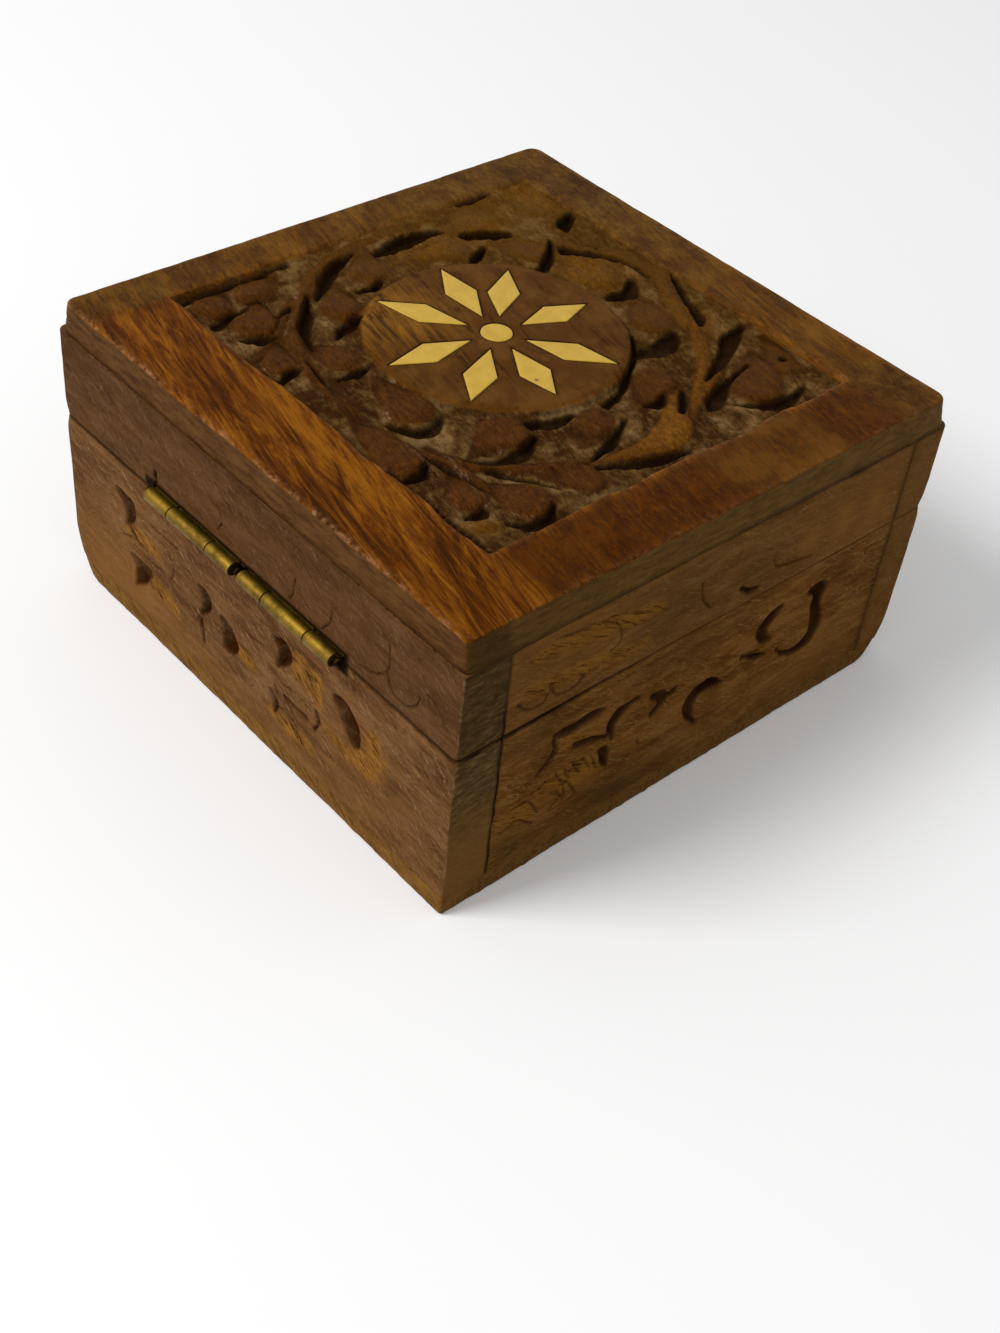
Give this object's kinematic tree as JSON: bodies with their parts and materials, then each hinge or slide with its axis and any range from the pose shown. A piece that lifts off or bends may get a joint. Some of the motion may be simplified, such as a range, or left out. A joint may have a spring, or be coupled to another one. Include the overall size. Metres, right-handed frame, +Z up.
{
  "type": "trinket box",
  "caption": "Square carved wooden trinket box with an inlaid flower in a sunk lid panel; the lid turns back on small brass butt hinges.",
  "frame": {"origin": "middle of the underside of the bottom board, midway between the outer faces of the walls", "axes": "+Z up through the lid, +Y towards the hinged back, +X to the right of someone who looks along +Y at the front"},
  "size_m": [0.1006, 0.1042, 0.0534],
  "materials": {
    "lid_wood": "oiled reddish-brown rosewood, dusty and darker in the carving",
    "wall_wood": "dull grey-brown rosewood with dark gouge cuts",
    "bottom_wood": "dull pale brown rosewood, worn round at the edges",
    "inlay": "cream bone-like inlay, rubbed smooth",
    "hinge_brass": "tarnished sheet brass"
  },
  "bodies": {
    "base": {"bottom_board": "bottom_wood", "base_back_wall": "wall_wood", "base_front_wall": "wall_wood", "base_left_wall": "wall_wood", "base_right_wall": "wall_wood", "hinge_1_base_leaf": "hinge_brass", "hinge_1_pin": "hinge_brass", "hinge_1_base_screw_1": "hinge_brass", "hinge_1_base_screw_2": "hinge_brass", "hinge_2_base_leaf": "hinge_brass", "hinge_2_pin": "hinge_brass", "hinge_2_base_screw_1": "hinge_brass", "hinge_2_base_screw_2": "hinge_brass"},
    "lid": {"lid_top_board": "lid_wood", "lid_back_rail": "wall_wood", "lid_front_rail": "wall_wood", "lid_left_rail": "wall_wood", "lid_right_rail": "wall_wood", "inlay_petal_1": "inlay", "inlay_petal_2": "inlay", "inlay_petal_3": "inlay", "inlay_petal_4": "inlay", "inlay_petal_5": "inlay", "inlay_petal_6": "inlay", "inlay_petal_7": "inlay", "inlay_petal_8": "inlay", "inlay_dot": "inlay", "hinge_1_lid_leaf": "hinge_brass", "hinge_1_lid_screw_1": "hinge_brass", "hinge_1_lid_screw_2": "hinge_brass", "hinge_2_lid_leaf": "hinge_brass", "hinge_2_lid_screw_1": "hinge_brass", "hinge_2_lid_screw_2": "hinge_brass"}
  },
  "joints": [
    {"name": "lid_hinge", "type": "hinge", "parent": "base", "child": "lid", "pos_m": [0, 0.0517, 0.0325], "axis": [-1, 0, 0], "range_deg": [0, 184]}
  ]
}
